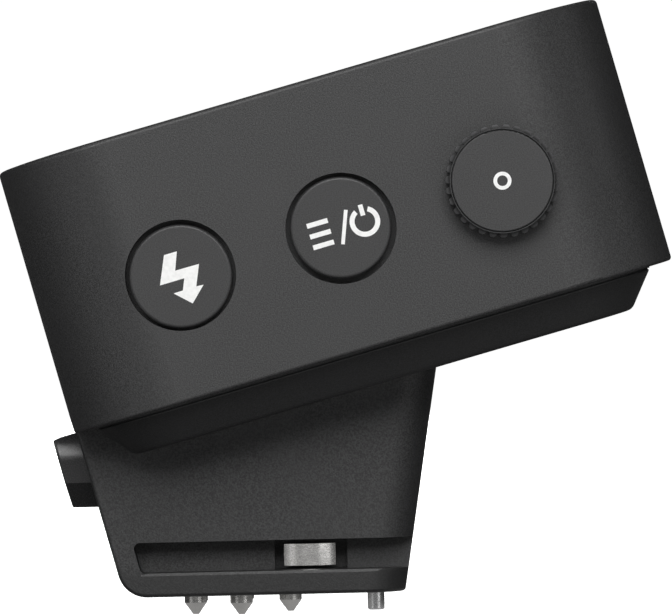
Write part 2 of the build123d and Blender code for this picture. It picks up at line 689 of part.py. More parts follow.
board_under = Plane(
    origin=HEAD.from_local_coords((0, 0, MAIN_BOARD_Z)), x_dir=HEAD.x_dir, z_dir=-HEAD.z_dir
)
main_board_screws = screws([(x, -y) for x, y in POSTS], 1.1, 0.6, THREAD_R, 4.0, board_under)
main_board_screws.part.label = "main_board_screws"
export_step(main_board_screws.part, "parts/main_board_screws.step")

with BuildPart() as board_chips:
    with BuildSketch(HEAD.offset(MAIN_TOP_Z)):
        with Locations((-5.5, 0.5)):
            Rectangle(9.0, 9.0)
        with Locations((5.5, -4.0), (5.5, 4.5)):
            Rectangle(6.0, 5.0)
        with Locations((-3.0, 11.0), (3.0, 11.0)):
            Rectangle(3.0, 3.0)
    extrude(amount=1.0)
board_chips.part.label = "board_chips"
export_step(board_chips.part, "parts/board_chips.step")

with BuildPart() as shield_can:
    with BuildSketch(HEAD.offset(MAIN_BOARD_Z - SHIELD[2])):
        with Locations(SHIELD_AT):
            RectangleRounded(SHIELD[0], SHIELD[1], 0.6)
    extrude(amount=SHIELD[2])
    with BuildSketch(HEAD.offset(MAIN_BOARD_Z - SHIELD[2] + SHEET_T)):
        with Locations(SHIELD_AT):
            RectangleRounded(SHIELD[0] - 2 * SHEET_T, SHIELD[1] - 2 * SHEET_T, 0.4)
    extrude(amount=SHIELD[2] - SHEET_T, mode=Mode.SUBTRACT)
shield_can.part.label = "shield_can"
export_step(shield_can.part, "parts/shield_can.step")

with BuildPart() as antenna:
    with BuildSketch(end_plane(ANTENNA_X)):
        with BuildLine():
            Polyline((-6.0, MAIN_TOP_Z), (-6.0, MAIN_TOP_Z + ANTENNA_H), (6.0, MAIN_TOP_Z + ANTENNA_H))
        trace(line_width=ANTENNA_W)
        with Locations((-3.5, MAIN_TOP_Z + ANTENNA_H / 2)):
            Rectangle(ANTENNA_W, ANTENNA_H)
    extrude(amount=0.3)
antenna.part.label = "antenna"
export_step(antenna.part, "parts/antenna.step")

with BuildPart() as buzzer:
    with BuildSketch(HEAD.offset(MAIN_BOARD_Z - BUZZER_H)):
        with Locations(BUZZER_AT):
            Circle(BUZZER_R)
    extrude(amount=BUZZER_H)
    with BuildSketch(HEAD.offset(MAIN_BOARD_Z - BUZZER_H)):
        with Locations(BUZZER_AT):
            Circle(0.8)
    extrude(amount=1.0, mode=Mode.SUBTRACT)
buzzer.part.label = "buzzer"
export_step(buzzer.part, "parts/buzzer.step")

with BuildPart() as battery_plate:
    with BuildSketch(HEAD.offset(BATTERY_PLATE_Z)):
        with BuildLine():
            Polyline(*inner_outline(23.6, 19.7, 19.7), close=True)
        make_face()
        with Locations((3.9, 4.9)):
            RectangleRounded(3.0, 4.6, 0.4, mode=Mode.SUBTRACT)
    extrude(amount=BATTERY_PLATE_T)
battery_plate.part.label = "battery_plate"
export_step(battery_plate.part, "parts/battery_plate.step")

with BuildPart() as battery_pad:
    with BuildSketch(HEAD.offset(BATTERY_PLATE_Z + BATTERY_PLATE_T)):
        with Locations((PAD_X, 0)):
            Rectangle(PAD[0], PAD[1])
    extrude(amount=PAD[2])
battery_pad.part.label = "battery_pad"
export_step(battery_pad.part, "parts/battery_pad.step")

with BuildPart() as battery:
    with BuildSketch(HEAD.offset(BATTERY_PLATE_Z + BATTERY_PLATE_T + PAD[2])):
        with Locations((BATTERY_X, 0)):
            RectangleRounded(BATTERY[0], BATTERY[1], 1.6)
    extrude(amount=BATTERY[2])
    fillet(battery.faces().sort_by(HEAD_UP)[-1].edges(), 0.8)
    fillet(battery.faces().sort_by(HEAD_UP)[0].edges(), 0.8)
battery.part.label = "battery"
export_step(battery.part, "parts/battery.step")

with BuildPart() as usb_c_shell:
    with BuildSketch(side_plane(PORT_FACE_Y)):
        with Locations((USB_X, USB_Z)):
            SlotOverall(*USB_SHELL)
    extrude(amount=USB_DEPTH)
    with BuildSketch(side_plane(PORT_FACE_Y)):
        with Locations((USB_X, USB_Z)):
            SlotOverall(USB_SHELL[0] - 2 * USB_SHEET, USB_SHELL[1] - 2 * USB_SHEET)
    extrude(amount=USB_DEPTH - 0.8, mode=Mode.SUBTRACT)
usb_c_shell.part.label = "usb_c_shell"
export_step(usb_c_shell.part, "parts/usb_c_shell.step")

with BuildPart() as usb_c_tongue:
    with BuildSketch(side_plane(PORT_FACE_Y - 1.0)):
        with Locations((USB_X, USB_Z)):
            RectangleRounded(6.7, 0.7, 0.2)
    extrude(amount=USB_DEPTH - 1.8)
usb_c_tongue.part.label = "usb_c_tongue"
export_step(usb_c_tongue.part, "parts/usb_c_tongue.step")

with BuildPart() as sync_jack:
    with BuildSketch(side_plane(20.3)):
        with Locations((JACK_X, JACK_Z)):
            RectangleRounded(6.0, 4.6, 0.3)
    extrude(amount=10.0)
    with BuildSketch(side_plane(PORT_FACE_Y + 0.2)):
        with Locations((JACK_X, JACK_Z)):
            Circle(JACK_NOSE_R)
    extrude(amount=1.6)
    with BuildSketch(side_plane(PORT_FACE_Y + 0.2)):
        with Locations((JACK_X, JACK_Z)):
            Circle(JACK_BORE_R)
    extrude(amount=JACK_BORE_L, mode=Mode.SUBTRACT)
sync_jack.part.label = "sync_jack"
export_step(sync_jack.part, "parts/sync_jack.step")

display_flex = ribbon(
    side_plane(0), [(-14.0, 19.38), (-21.2, 19.38), (-21.2, 15.16), (-16.0, 15.16)], 1.2, 11.0
)
display_flex.part.label = "display_flex"
export_step(display_flex.part, "parts/display_flex.step")

control_flex = ribbon(
    end_plane(0), [(-15.06, 7.5), (-15.06, 16.6), (-12.4, 16.6), (-12.4, 15.16), (-9.5, 15.16)], 0.6, 6.0
)
control_flex.part.label = "control_flex"
export_step(control_flex.part, "parts/control_flex.step")

# ---- neck and foot ------------------------------------------------------------------------

with BuildPart() as notch_form:
    add(release_form(NOTCH_GAP, NOTCH_END_X))
    split(bisect_by=HEAD, keep=Keep.BOTTOM)
release_notch = notch_form.part

with BuildPart() as neck_housing:
    add(neck_form(0, 0))
    rear_bottom = neck_housing.edges().filter_by(Axis.Y).group_by(Axis.Z)[0].sort_by(Axis.X)
    fillet(rear_bottom[0], FOOT_REAR_R)
    side_edges = neck_housing.edges().filter_by(lambda e: abs(abs(e.center().Y) - FOOT_W / 2) < 0.01)
    fillet(side_edges.filter_by(lambda e: e.center().X < FOOT_FRONT_X - 4 and e.center().Z < 8), FOOT_EDGE_R)
    # stub and flange inside the head
    with BuildSketch(HEAD):
        with Locations((STUB_X, 0)):
            RectangleRounded(STUB_L, FOOT_W - 0.2, 2.0)
    extrude(amount=SPIGOT_H)
    with BuildSketch(HEAD.offset(NECK_FLANGE_Z)):
        with Locations((-6.4, 0)):
            RectangleRounded(29.6, 22.0, 1.5)
    extrude(amount=SPIGOT_H - NECK_FLANGE_Z)
    # hollow
    with BuildSketch(world_plane(0)):
        with BuildLine():
            Polyline(
                (rear_x(CAVITY_Z, NECK_WALL), CAVITY_Z),
                (front_x(CAVITY_Z, NECK_WALL), CAVITY_Z),
                at_head(front_head_x(-1.2) - NECK_WALL, -1.2),
                at_head(-HEAD_L / 2 + NECK_WALL, -1.2),
                close=True,
            )
        make_face()
    extrude(amount=FOOT_W / 2 - NECK_WALL, both=True, mode=Mode.SUBTRACT)
    with BuildSketch(HEAD.offset(-1.3)):
        with Locations((STUB_X, 0)):
            RectangleRounded(STUB_L - 2.6, FOOT_W - 2 * NECK_WALL, 1.0)
    extrude(amount=SPIGOT_H + 1.4, mode=Mode.SUBTRACT)
    # cross wall that the release spring pushes on
    with BuildSketch(Plane(origin=(SPRING_STOP_X, 0, SPRING_Z), z_dir=(1, 0, 0), x_dir=(0, 1, 0))):
        Rectangle(FOOT_W - NECK_WALL, SPRING_WALL_H)
    extrude(amount=1.2)
    # rail slots, closed behind and open in front
    for side in (-1, 1):
        with BuildSketch(world_plane(side * WEB_W / 2)):
            with BuildLine():
                Polyline(
                    (rear_x(FOOT_T, SLOT_REAR), FOOT_T),
                    (FOOT_FRONT_X + 9, FOOT_T),
                    (FOOT_FRONT_X + 9, SLOT_TOP_Z),
                    (rear_x(SLOT_TOP_Z, SLOT_REAR), SLOT_TOP_Z),
                    close=True,
                )
            make_face()
            fillet(vertices().sort_by(Axis.X)[:2], 0.5)
        extrude(amount=-side * FOOT_W, mode=Mode.SUBTRACT)
        # chamfer along the plate's upper edge
        slot_start_x = rear_x(FOOT_T, SLOT_REAR)
        with BuildSketch(Plane(origin=(slot_start_x, 0, 0), x_dir=(0, 1, 0), z_dir=(1, 0, 0))):
            with BuildLine():
                Polyline(
                    (side * (FOOT_W / 2 - RAIL_CHAMFER_D), FOOT_T),
                    (side * (FOOT_W / 2 + RAIL_CHAMFER_D), FOOT_T),
                    (side * (FOOT_W / 2 + RAIL_CHAMFER_D), FOOT_T - 2 * RAIL_CHAMFER_H),
                    close=True,
                )
            make_face()
        extrude(amount=FOOT_FRONT_X + 9 - slot_start_x, mode=Mode.SUBTRACT)
        # pocket for the ground leaf
        with BuildSketch(Plane.XY.offset(FOOT_T)):
            with Locations(((LEAF_POCKET[0] + LEAF_POCKET[1]) / 2, side * 5.4)):
                Rectangle(LEAF_POCKET[1] - LEAF_POCKET[0], 2.2)
        extrude(amount=SLOT_TOP_Z - FOOT_T, mode=Mode.SUBTRACT)
    # pillars for the contact board and the lock guide
    with BuildSketch(Plane.XY.offset(CAVITY_Z - 0.5)):
        with Locations((BOARD_SCREW_X, 0)):
            Circle(1.15)
        with Locations((-8.6, -5.6), (-8.6, 5.6), (1.9, -5.0), (1.9, 5.0)):
            Circle(0.9)
    extrude(amount=BOARD_Z - CAVITY_Z + 0.5)
    with BuildSketch(Plane.XY.offset(CAVITY_Z - 0.5)):
        with Locations(*GUIDE_PILLARS):
            Circle(1.2)
    extrude(amount=GUIDE_Z - CAVITY_Z + 0.5)
    with BuildSketch(Plane.XY.offset(FOOT_T + 3.2)):
        with Locations((BOARD_SCREW_X, 0), *GUIDE_PILLARS):
            Circle(GUIDE_PILOT_R)
    extrude(amount=GUIDE_Z, mode=Mode.SUBTRACT)
    # guides of the contact pins and of the lock pin
    with BuildSketch(Plane.XY):
        with Locations(*CONTACTS):
            Circle(PIN_R + RUNNING)
        with Locations((LOCK_X, 0)):
            Circle(LOCK_R + RUNNING)
    extrude(amount=CAVITY_Z, mode=Mode.SUBTRACT)
    with BuildSketch(Plane.XY.offset(PIN_SEAT_Z)):
        with Locations(*CONTACTS):
            Circle(PIN_POCKET_R)
    extrude(amount=CAVITY_Z - PIN_SEAT_Z, mode=Mode.SUBTRACT)
    with BuildSketch(Plane.XY.offset(LOCK_SEAT_Z)):
        with Locations((LOCK_X, 0)):
            Circle(PIN_POCKET_R)
    extrude(amount=CAVITY_Z - LOCK_SEAT_Z, mode=Mode.SUBTRACT)
    # notch in the rear wall for the release button, open below the housing's edge
    add(release_notch, mode=Mode.SUBTRACT)
    # screw holes of the flange
    with BuildSketch(HEAD.offset(0.5)):
        with Locations(*NECK_SCREWS):
            Circle(0.6)
    extrude(amount=SPIGOT_H, mode=Mode.SUBTRACT)
    with BuildSketch(HEAD.offset(SPIGOT_H - NECK_HEAD_DEPTH)):
        with Locations(*NECK_SCREWS):
            Circle(0.95)
    extrude(amount=SPIGOT_H, mode=Mode.SUBTRACT)
neck_housing.part.label = "neck_housing"
export_step(neck_housing.part, "parts/neck_housing.step")

for number, (x, y) in enumerate(CONTACTS):
    name = "sync_contact_pin" if number == 0 else f"data_contact_pin_{number}"
    with BuildPart() as pin:
        with BuildSketch(Plane(origin=(x, y, 0), x_dir=(1, 0, 0), z_dir=(0, -1, 0))):
            with BuildLine():
                Polyline(
                    (0, -PIN_PROUD),
                    (PIN_TIP_R, -PIN_PROUD),
                    (PIN_R, -PIN_CONE_Z),
                    (PIN_R, PIN_SEAT_Z),
                    (PIN_FLANGE_R, PIN_SEAT_Z),
                    (PIN_FLANGE_R, PIN_SEAT_Z + PIN_FLANGE_T),
                    (PIN_STEM_R, PIN_SEAT_Z + PIN_FLANGE_T),
                    (PIN_STEM_R, PIN_SEAT_Z + 2.4),
                    (0, PIN_SEAT_Z + 2.4),
                    close=True,
                )
            make_face()
        revolve(axis=Axis((x, y, 0), (0, 0, 1)))
    pin.part.label = name
    export_step(pin.part, f"parts/{name}.step")

    seat = PIN_SEAT_Z + PIN_FLANGE_T
    spring = coil_spring(Plane(origin=(x, y, seat)), 0.95, 0.14, BOARD_Z - seat, 4.5)
    spring.part.label = f"contact_spring_{number}"
    export_step(spring.part, f"parts/contact_spring_{number}.step")

with BuildPart() as contact_board:
    with BuildSketch(Plane.XY.offset(BOARD_Z)):
        with Locations((-3.6, 0)):
            RectangleRounded(13.2, 13.6, 0.5)
        with Locations((BOARD_SCREW_X, 0)):
            Circle(0.6, mode=Mode.SUBTRACT)
    extrude(amount=BOARD_T)
contact_board.part.label = "contact_board"
export_step(contact_board.part, "parts/contact_board.step")

contact_board_screw = screws(
    [(BOARD_SCREW_X, 0)], 0.95, 0.45, GUIDE_SCREW_R, 2.6, Plane.XY.offset(BOARD_Z + BOARD_T)
)
contact_board_screw.part.label = "contact_board_screw"
export_step(contact_board_screw.part, "parts/contact_board_screw.step")

# Spring leaves: the bulged middle stands just proud of the web and both ends turn inwards.
for name, side in (("right", -1), ("left", 1)):
    with BuildPart() as leaf:
        with BuildSketch(Plane.XY.offset(FOOT_T + LEAF_LOW_GAP)):
            with BuildLine():
                start = (LEAF_X[0], side * LEAF_END_Y)
                middle = ((LEAF_X[0] + LEAF_X[1]) / 2, side * LEAF_BULGE_Y)
                end = (LEAF_X[1], side * LEAF_END_Y)
                ThreePointArc(start, middle, end)
                Line(start, (LEAF_X[0] + 0.35, side * (LEAF_END_Y - 0.75)))
                Line(end, (LEAF_X[1] - 0.35, side * (LEAF_END_Y - 0.75)))
            trace(line_width=LEAF_T)
        extrude(amount=SLOT_TOP_Z - FOOT_T - LEAF_LOW_GAP - LEAF_HIGH_GAP)
    leaf.part.label = f"ground_leaf_{name}"
    export_step(leaf.part, f"parts/ground_leaf_{name}.step")

with BuildPart() as release_button:
    add(release_form(0, BUTTON_BACK_X))
    with BuildSketch(world_plane(0)):
        with BuildLine():
            out_x, out_z = at_head(-HEAD_L / 2 - RELEASE_PROUD, -RELEASE_TOP_GAP)
            Polyline(
                (out_x + (out_z - RELEASE_LOW_Z) * tan(LEAN), RELEASE_LOW_Z),
                (BUTTON_BACK_X, RELEASE_LOW_Z),
                at_head(-HEAD_L / 2 + 4.2, -1.5),
                at_head(-HEAD_L / 2 + NECK_RIM, -1.5),
                at_head(-HEAD_L / 2 + NECK_RIM, -RELEASE_TOP_GAP),
                (out_x, out_z),
                close=True,
            )
        make_face()
    extrude(amount=RELEASE_HALF_W, both=True, mode=Mode.INTERSECT)
    fillet(release_button.faces().sort_by(Axis.X)[0].edges(), RELEASE_EDGE_R)
    # flange behind the wall
    flange_low, flange_high = CAVITY_Z + 0.3, SPRING_Z + SPRING_WALL_H / 2
    with BuildSketch(world_plane(0)):
        with BuildLine():
            Polyline(
                (rear_x(flange_low, NECK_RIM), flange_low),
                (BUTTON_BACK_X, flange_low),
                (BUTTON_BACK_X, flange_high),
                (rear_x(flange_high, NECK_RIM), flange_high),
                close=True,
            )
        make_face()
    extrude(amount=RELEASE_HALF_W + 1.2, both=True)
    # seat of the spring
    spring_place = Plane(origin=(BUTTON_BACK_X, 0, SPRING_Z), z_dir=(1, 0, 0), x_dir=(0, 1, 0))
    with BuildSketch(spring_place):
        Circle(0.6)
    extrude(amount=1.4)
release_button.part.label = "release_button"
export_step(release_button.part, "parts/release_button.step")

release_spring = coil_spring(spring_place, 1.0, 0.17, SPRING_STOP_X - BUTTON_BACK_X, 5)
release_spring.part.label = "release_spring"
export_step(release_spring.part, "parts/release_spring.step")

# The slider's two prongs straddle the lock pin. Their slope lifts the pin's collar.

with BuildPart() as lock_slider:
    with BuildSketch(Plane.XY.offset(SLIDER_Z)):
        with Locations(((BUTTON_BACK_X + WEDGE_TOP_X) / 2, 0)):
            Rectangle(WEDGE_TOP_X - BUTTON_BACK_X, SLIDER_W)
    extrude(amount=SLIDER_T)
    with BuildSketch(world_plane(0)):
        with BuildLine():
            Polyline(
                (WEDGE_TOP_X - 1.0, SLIDER_Z),
                (WEDGE_X + (WEDGE_Z - SLIDER_Z) / RELEASE_RATIO, SLIDER_Z),
                (WEDGE_TOP_X, WEDGE_TOP_Z),
                (WEDGE_TOP_X - 1.0, WEDGE_TOP_Z),
                close=True,
            )
        make_face()
    extrude(amount=PRONG_HALF_W, both=True)
    with BuildSketch(Plane.XY.offset(SLIDER_Z)):
        with Locations((LOCK_X, 0)):
            Rectangle(2 * (LOCK_X - WEDGE_TOP_X + 0.3), 2 * (LOCK_R + PRONG_FIT))
    extrude(amount=5.0, mode=Mode.SUBTRACT)
lock_slider.part.label = "lock_slider"
export_step(lock_slider.part, "parts/lock_slider.step")

with BuildPart() as lock_pin:
    with BuildSketch(Plane.XY.offset(-LOCK_PROUD)):
        with Locations((LOCK_X, 0)):
            Circle(LOCK_R)
    extrude(amount=LOCK_PROUD + COLLAR_Z + COLLAR_T)
    chamfer(lock_pin.edges().group_by(Axis.Z)[0], 0.12)
    with BuildSketch(Plane.XY.offset(LOCK_SEAT_Z)):
        with Locations((LOCK_X, 0)):
            Circle(PIN_FLANGE_R)
    extrude(amount=LOCK_FLANGE_T)
lock_pin.part.label = "lock_pin"
export_step(lock_pin.part, "parts/lock_pin.step")

with BuildPart() as lock_pin_collar:
    with BuildSketch(Plane.XY.offset(COLLAR_Z)):
        with Locations((LOCK_X, 0)):
            Circle(COLLAR_R)
            Circle(LOCK_R, mode=Mode.SUBTRACT)
    extrude(amount=COLLAR_T)
lock_pin_collar.part.label = "lock_pin_collar"
export_step(lock_pin_collar.part, "parts/lock_pin_collar.step")

lock_spring_z = LOCK_SEAT_Z + LOCK_FLANGE_T
lock_pin_spring = coil_spring(
    Plane(origin=(LOCK_X, 0, lock_spring_z)), 1.05, 0.15, GUIDE_Z - lock_spring_z, 5
)
lock_pin_spring.part.label = "lock_pin_spring"
export_step(lock_pin_spring.part, "parts/lock_pin_spring.step")

with BuildPart() as lock_guide:
    with BuildSketch(Plane.XY.offset(GUIDE_Z)):
        with Locations((LOCK_X - 0.35, 0)):
            RectangleRounded(3.6, 14.2, 0.8)
        with Locations(*GUIDE_PILLARS):
            Circle(0.6, mode=Mode.SUBTRACT)
        with Locations((LOCK_X, 0)):
            Circle(LOCK_R + 0.08, mode=Mode.SUBTRACT)
    extrude(amount=GUIDE_T)
lock_guide.part.label = "lock_guide"
export_step(lock_guide.part, "parts/lock_guide.step")

lock_guide_screws = screws(
    GUIDE_PILLARS, 1.0, 0.45, GUIDE_SCREW_R, 3.0, Plane.XY.offset(GUIDE_Z + GUIDE_T)
)
lock_guide_screws.part.label = "lock_guide_screws"
export_step(lock_guide_screws.part, "parts/lock_guide_screws.step")

# ---- screws and cable that join neck and head ---------------------------------------------

foot_flex_z = BOARD_Z + BOARD_T + 0.2
foot_flex_end = MAIN_BOARD_Z - 0.18
foot_flex = ribbon(
    world_plane(FOOT_FLEX_Y),
    [
        (0.9, foot_flex_z),
        (4.2, foot_flex_z),
        at_head(3.2, 0.5),
        at_head(3.9, 12.0),
        at_head(4.4, foot_flex_end),
        at_head(7.5, foot_flex_end),
    ],
    0.7,
    3.0,
)
foot_flex.part.label = "foot_flex"
export_step(foot_flex.part, "parts/foot_flex.step")

neck_screws = screws(NECK_SCREWS, 0.9, 0.4, GUIDE_SCREW_R, 2.8, HEAD.offset(SPIGOT_H - NECK_HEAD_DEPTH))
neck_screws.part.label = "neck_screws"
export_step(neck_screws.part, "parts/neck_screws.step")

cover_under = Plane(
    origin=HEAD.from_local_coords((0, 0, -TRAY_D + 0.7)), x_dir=HEAD.x_dir, z_dir=-HEAD.z_dir
)
housing_screws = screws([(x, -y) for x, y in BOSSES], COVER_SCREW_R, 0.6, 0.68, 9.0, cover_under)
housing_screws.part.label = "housing_screws"
export_step(housing_screws.part, "parts/housing_screws.step")
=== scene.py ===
import json
import math

import bmesh
import bpy
from mathutils import Matrix, Vector


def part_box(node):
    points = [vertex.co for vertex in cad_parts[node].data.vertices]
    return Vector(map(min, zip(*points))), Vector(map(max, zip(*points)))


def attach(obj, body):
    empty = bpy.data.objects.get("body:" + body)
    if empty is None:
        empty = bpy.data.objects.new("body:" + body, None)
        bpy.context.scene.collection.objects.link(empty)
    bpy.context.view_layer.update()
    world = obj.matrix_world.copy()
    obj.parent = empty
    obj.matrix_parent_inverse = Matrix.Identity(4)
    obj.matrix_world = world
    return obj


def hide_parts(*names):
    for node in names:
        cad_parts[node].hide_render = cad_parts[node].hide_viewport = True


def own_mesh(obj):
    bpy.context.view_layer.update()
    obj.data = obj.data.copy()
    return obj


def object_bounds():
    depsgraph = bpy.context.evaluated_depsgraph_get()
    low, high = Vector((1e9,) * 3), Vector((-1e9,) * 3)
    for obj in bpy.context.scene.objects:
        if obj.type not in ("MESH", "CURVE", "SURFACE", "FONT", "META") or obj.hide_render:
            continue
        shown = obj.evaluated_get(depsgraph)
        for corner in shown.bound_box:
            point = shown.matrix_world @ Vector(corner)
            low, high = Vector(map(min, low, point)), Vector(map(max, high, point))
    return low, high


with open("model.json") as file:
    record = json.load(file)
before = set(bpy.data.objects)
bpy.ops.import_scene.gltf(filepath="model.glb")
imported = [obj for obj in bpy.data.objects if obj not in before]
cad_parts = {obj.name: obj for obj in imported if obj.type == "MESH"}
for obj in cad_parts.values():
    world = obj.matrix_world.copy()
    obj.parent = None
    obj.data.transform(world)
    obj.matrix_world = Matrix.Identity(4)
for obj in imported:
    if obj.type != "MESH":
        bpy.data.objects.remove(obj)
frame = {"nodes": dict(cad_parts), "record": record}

MM = 0.001
CAD_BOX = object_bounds()


# ---------------------------------------------------------------- places

def middle(node):
    """Middle of a CAD node's box."""
    low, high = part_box(node)
    return (low + high) / 2


# The flash key and the dial lie on one line of the tilted head, which gives the head's own directions.
DIAL_MIDDLE = middle("control_dial")
RUN = DIAL_MIDDLE - middle("flash_button")
ALONG = Vector((RUN.x, 0, RUN.z)).normalized()
UP = Vector((-ALONG.z, 0, ALONG.x))
OUT = Vector((0, -1, 0))
GLASS_MIDDLE = middle("touch_glass")


# ---------------------------------------------------------------- node materials

class Nodes:
    """Short calls for building one material's node tree."""

    def __init__(self, name):
        self.material = bpy.data.materials.new(name)
        self.material.use_nodes = True
        self.tree = self.material.node_tree
        self.shader = self.tree.nodes["Principled BSDF"]
        self.place = self.new("ShaderNodeTexCoord").outputs["Object"]

    def new(self, kind, **settings):
        node = self.tree.nodes.new(kind)
        for key, value in settings.items():
            setattr(node, key, value)
        return node

    def feed(self, socket, value):
        if isinstance(value, bpy.types.NodeSocket):
            self.tree.links.new(value, socket)
        else:
            socket.default_value = value

    def noise(self, size, detail=2.0, stretch=None):
        """Noise with features of about that size in metres."""
        node = self.new("ShaderNodeTexNoise")
        node.inputs["Scale"].default_value = 1 / size
        node.inputs["Detail"].default_value = detail
        spot = self.vector("MULTIPLY", self.place, stretch) if stretch else self.place
        self.feed(node.inputs["Vector"], spot)
        return node.outputs["Fac"]

    def vector(self, operation, a, b):
        node = self.new("ShaderNodeVectorMath", operation=operation)
        self.feed(node.inputs[0], a)
        self.feed(node.inputs[1], b)
        return node.outputs["Value" if operation in ("DOT_PRODUCT", "DISTANCE") else "Vector"]

    def maths(self, operation, a, b=0.0):
        node = self.new("ShaderNodeMath", operation=operation)
        self.feed(node.inputs[0], a)
        self.feed(node.inputs[1], b)
        return node.outputs[0]

    def span(self, value, start, end, low=0.0, high=1.0):
        """value between start and end carried smoothly to between low and high."""
        node = self.new("ShaderNodeMapRange", interpolation_type="SMOOTHSTEP")
        for socket, number in zip(node.inputs, (value, start, end, low, high)):
            self.feed(socket, number)
        return node.outputs["Result"]

    def mix(self, share, a, b):
        """Colour a where share is 0 and b where it is 1."""
        node = self.new("ShaderNodeMix", data_type="RGBA")
        self.feed(node.inputs["Factor"], share)
        for socket, colour in ((node.inputs["A"], a), (node.inputs["B"], b)):
            self.feed(socket, colour if isinstance(colour, bpy.types.NodeSocket) else (*colour, 1))
        return node.outputs["Result"]

    def edges(self, radius, start=0.02, end=0.25):
        """1 along convex and concave edges, 0 on open faces."""
        rounded = self.new("ShaderNodeBevel", samples=6)
        rounded.inputs["Radius"].default_value = radius
        flat = self.new("ShaderNodeNewGeometry").outputs["Normal"]
        turned = self.vector("DOT_PRODUCT", rounded.outputs["Normal"], flat)
        return self.span(self.maths("SUBTRACT", 1.0, turned), start, end)

    def bump(self, height, depth):
        node = self.new("ShaderNodeBump")
        node.inputs["Distance"].default_value = depth
        self.feed(node.inputs["Height"], height)
        return node.outputs["Normal"]

    def set(self, **values):
        for key, value in values.items():
            self.feed(self.shader.inputs[key.replace("_", " ")], value)
        return self.material


def lighter(colour, times):
    """The colour times a number, which is below 1 for a darker one."""
    return tuple(min(c * times, 1.0) for c in colour)


FOOT_SHADE_BLUR = 0.5 * MM


def moulded(
    name, colour, rough, grain=0.11 * MM, depth=0.007 * MM, mottle=0.34, edge_wear_and_sheen=0.35, worn_and_sheen=2.2,
    foot_shade_z=None, teeth_highlight=None,
):
    """Moulded plastic with a spark-eroded grain, faint cloudiness, and edges made lighter: partly rubbed
    wear, partly painted highlight.

    Below the given foot height it is darker: painted shade on the foot plate under the neck. The last
    argument is the dial's middle and two radii between which its teeth get a painted highlight: lighter
    colour, lower roughness.
    """
    n = Nodes(name)
    fine = n.noise(grain, 3)
    cloud = n.noise(7 * MM, 4)
    # Lighter along edges: rubbed wear together with a painted highlight on the edge roundings.
    wear_and_sheen = n.maths("MULTIPLY", n.edges(0.22 * MM), n.span(n.noise(1.1 * MM, 5), 0.38, 0.66))
    wear_and_sheen = n.maths("MULTIPLY", wear_and_sheen, edge_wear_and_sheen)
    # Painted highlight on the dial's teeth tips, between the two radii, with lower roughness there too.
    if teeth_highlight is not None:
        centre, near, far = teeth_highlight
        radius = n.vector("DISTANCE", n.vector("MULTIPLY", n.place, (1, 0, 1)), (centre.x, 0, centre.z))
        wear_and_sheen = n.maths("MAXIMUM", wear_and_sheen, n.span(radius, near, far))
    ground = n.mix(n.span(fine, 0.3, 0.7), lighter(colour, 1 - mottle), lighter(colour, 1 + mottle))
    ground = n.mix(n.span(cloud, 0.35, 0.7, 0.0, 0.35), ground, lighter(colour, 1.14))
    # Painted shade: darker below the top of the foot plate, under the neck.
    if foot_shade_z is not None:
        parts = n.new("ShaderNodeSeparateXYZ")
        n.feed(parts.inputs[0], n.place)
        below = n.span(parts.outputs["Z"], foot_shade_z + FOOT_SHADE_BLUR, foot_shade_z - FOOT_SHADE_BLUR, 0.0, 0.6)
        ground = n.mix(below, ground, lighter(colour, 0.35))
    rough_grain = n.span(fine, 0.25, 0.75, rough + 0.05, rough - 0.05)
    smeared = n.span(cloud, 0.4, 0.75, 0.0, -0.035)
    polish = n.maths("MULTIPLY", wear_and_sheen, -0.16)
    roughness = n.maths("ADD", n.maths("ADD", rough_grain, smeared), polish)
    return n.set(
        Base_Color=n.mix(wear_and_sheen, ground, lighter(colour, worn_and_sheen)),
        Roughness=roughness,
        Normal=n.bump(fine, depth),
    )


def metal(name, colour, rough, grain=0.25 * MM, depth=0.004 * MM, stretch=None, dull=0.82, metallic=1.0):
    """Plated or bare metal: drawn or turned marks, dulled patches and brighter edges."""
    n = Nodes(name)
    marks = n.noise(grain, 4, stretch)
    patches = n.noise(1.6 * MM, 5)
    edge = n.maths("MULTIPLY", n.edges(0.1 * MM), 0.5)
    ground = n.mix(n.span(patches, 0.35, 0.7), colour, lighter(colour, dull))
    ground = n.mix(n.maths("MULTIPLY", n.span(marks, 0.35, 0.65), 0.3), ground, lighter(colour, 0.78))
    drawn = n.span(marks, 0.3, 0.7, rough * 0.8, rough * 1.3)
    return n.set(
        Base_Color=n.mix(edge, ground, lighter(colour, 1.25)),
        Metallic=metallic,
        Roughness=n.maths("ADD", drawn, n.span(patches, 0.5, 0.8, 0, 0.08)),
        Normal=n.bump(marks, depth),
    )


WINDOW_LENGTH = 40.8 * MM
WINDOW_WIDTH = 30.8 * MM
WINDOW_BLUR = 0.1 * MM


